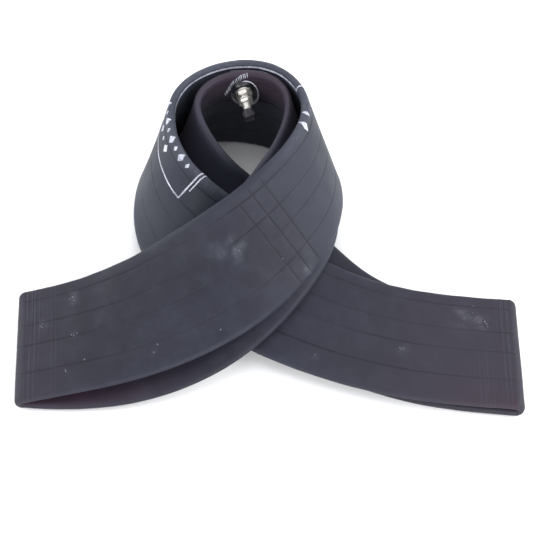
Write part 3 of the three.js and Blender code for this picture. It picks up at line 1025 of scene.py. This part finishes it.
def nickel():
    """Nickel plate with a fine grain and duller stains."""
    paint_box = Paint("nickel_plate")
    socket_value(paint_box.shader, "Metallic", 1.0)
    stain = paint_box.ramp(paint_box.noise(240, 4, 0.6), 0.42, 0.68)
    paint_box.colour(paint_box.mix(stain, rgb(240, 238, 233), rgb(200, 196, 187)))
    paint_box.roughness(paint_box.ramp(paint_box.noise(500, 4, 0.6), 0.3, 0.7, 0.36, 0.54))
    paint_box.bump(paint_box.noise(1800, 2), 0.00005, 0.35)
    return paint_box


def brass():
    """Plain brass, clouded where it has dulled."""
    paint_box = Paint("core_brass")
    socket_value(paint_box.shader, "Metallic", 1.0)
    cloud = paint_box.ramp(paint_box.noise(300, 4), 0.35, 0.7)
    paint_box.colour(paint_box.mix(cloud, rgb(214, 184, 118), rgb(176, 142, 84)))
    paint_box.roughness(paint_box.ramp(paint_box.noise(600, 3), 0.3, 0.7, 0.22, 0.4))
    paint_box.bump(paint_box.noise(2200, 2), 0.00004, 0.3)
    return paint_box


def steel():
    """Bright spring wire."""
    paint_box = Paint("spring_steel")
    socket_value(paint_box.shader, "Metallic", 1.0)
    cloud = paint_box.ramp(paint_box.noise(900, 3), 0.35, 0.7)
    paint_box.colour(paint_box.mix(cloud, rgb(200, 202, 208), rgb(150, 152, 158)))
    paint_box.roughness(paint_box.ramp(cloud, 0, 1, 0.22, 0.36))
    return paint_box


def cap_plastic():
    """Black moulded plastic, slightly purple, with a fine matt skin."""
    paint_box = Paint("cap_plastic")
    cloud = paint_box.ramp(paint_box.noise(200, 4, 0.6), 0.4, 0.72)
    paint_box.colour(paint_box.mix(cloud, rgb(22, 20, 29), rgb(36, 33, 46)))
    paint_box.roughness(paint_box.ramp(paint_box.noise(400, 3), 0.3, 0.7, 0.36, 0.52))
    paint_box.bump(paint_box.noise(1500, 3), 0.00006, 0.4)
    return paint_box


def seal(name, dark, light, level):
    """A moulded seal in one colour with a slight cloud and skin."""
    paint_box = Paint(name)
    cloud = paint_box.ramp(paint_box.noise(500, 3), 0.35, 0.7)
    paint_box.colour(paint_box.mix(cloud, dark, light))
    paint_box.roughness(paint_box.ramp(cloud, 0, 1, level, level + 0.15))
    paint_box.bump(paint_box.noise(2000, 2), 0.00004, 0.4)
    return paint_box


def floor_finish():
    """A plain white board with the faintest tooth."""
    paint_box = Paint("white_board")
    cloud = paint_box.ramp(paint_box.noise(6, 3), 0.3, 0.7)
    paint_box.colour(paint_box.mix(cloud, (0.9, 0.9, 0.905, 1.0), (0.92, 0.92, 0.92, 1.0)))
    paint_box.roughness(paint_box.ramp(cloud, 0, 1, 0.75, 0.85))
    socket_value(paint_box.shader, "Specular IOR Level", 0.2)
    return paint_box


# ---- The studio ----

def make_floor():
    """A large pale board under the tube."""
    size = 4.0
    mesh = bpy.data.meshes.new("floor")
    corners = [(-size, -size, 0), (size, -size, 0), (size, size, 0), (-size, size, 0)]
    mesh.from_pydata(corners, [], [(0, 1, 2, 3)])
    floor = bpy.data.objects.new("floor", mesh)
    bpy.context.scene.collection.objects.link(floor)
    floor_finish().put_on(floor)


def area_light(name, place, size, power):
    """A soft rectangle of light, turned towards the middle of the tube."""
    target = Vector((0, 0, 0.04))
    lamp = bpy.data.lights.new(name, "AREA")
    lamp.shape = "RECTANGLE"
    lamp.size, lamp.size_y = size
    lamp.energy = power
    piece = bpy.data.objects.new(name, lamp)
    piece.location = place
    piece.rotation_euler = (target - Vector(place)).to_track_quat("-Z", "Y").to_euler()
    bpy.context.scene.collection.objects.link(piece)


def make_lights():
    """Soft lights all round, and an even pale sky."""
    area_light("top_soft", (-0.1, 0.35, 1.6), (1.2, 1.2), 8)
    area_light("right_soft", (1.4, -0.1, 0.75), (1.1, 0.8), 20)
    area_light("front_right_soft", (0.7, -1.4, 0.6), (1.1, 0.8), 15)
    area_light("front_left_soft", (-0.9, -1.3, 0.6), (1.1, 0.8), 10)
    area_light("left_soft", (-1.4, 0.2, 0.7), (1.1, 0.8), 13)
    area_light("back_soft", (0.1, 1.5, 0.9), (1.2, 0.8), 8)
    world = bpy.data.worlds.new("studio")
    world.use_nodes = True
    background = world.node_tree.nodes["Background"]
    background.inputs["Color"].default_value = (0.94, 0.96, 1.0, 1.0)
    background.inputs["Strength"].default_value = 0.74
    bpy.context.scene.world = world


def make_camera():
    """Straight in front of the band, looking down at sixty degrees."""
    lens = bpy.data.cameras.new("camera")
    lens.sensor_width = 36
    lens.lens = 75.99
    camera = bpy.data.objects.new("camera", lens)
    camera.location = (-0.0009, -0.4981, 0.8556)
    camera.rotation_euler = (math.radians(30), 0, 0)
    bpy.context.scene.collection.objects.link(camera)
    bpy.context.scene.camera = camera
    bpy.context.scene.view_settings.view_transform = "Standard"


# ---- The whole object ----

def route_shift():
    """From the route's own frame to the CAD's: the valve's foot is known in both."""
    middle, width, normal, _ = run_sections(INNER_RUN, VALVE_PLACE)
    foot = middle + width * VALVE_ABOVE_MIDDLE - normal * FLAT_THICKNESS / 2
    return np.array(JOINTS["base_nut_turn"]["pos_m"]) - foot[0] * MM


SHIFT = route_shift()
VALVE = valve_frame()

tube_rubber().put_on(make_tube())
white = ink()
for piece in (make_frame_print(), make_mark_print(), make_tick_row()):
    white.put_on(piece)
powder_crumbs().put_on(make_specks())
base_rubber().put_on(make_valve_base())
plate = nickel()
for piece in (
    make_stem(),
    make_washer("base_washer_ring", "base_washer", "base_washer", *BASE_WASHER),
    make_nut("base_hex_nut", "base_nut", "base_nut", *BASE_NUT),
    make_washer("rim_washer_ring", "rim_washer", "rim_washer", *RIM_WASHER),
    make_nut("rim_hex_nut", "rim_nut", "rim_nut", *RIM_NUT),
):
    plate.put_on(piece)
cap_plastic().put_on(make_cap())
core_metal = brass()
for node in ("core_plug", "core_barrel", "core_pin", "core_cup"):
    core_metal.put_on(bpy.data.objects[node])
steel().put_on(bpy.data.objects["core_spring"])
seal("cap_seal_rubber", rgb(30, 30, 33), rgb(46, 46, 50), 0.5).put_on(bpy.data.objects["cap_seal"])
seal("core_barrel_seal", rgb(222, 216, 202), rgb(236, 232, 222), 0.35).put_on(
    bpy.data.objects["core_barrel_seal"])
seal("core_cup_rubber", rgb(120, 40, 30), rgb(150, 56, 42), 0.55).put_on(bpy.data.objects["core_cup_seal"])

make_floor()
make_lights()
make_camera()
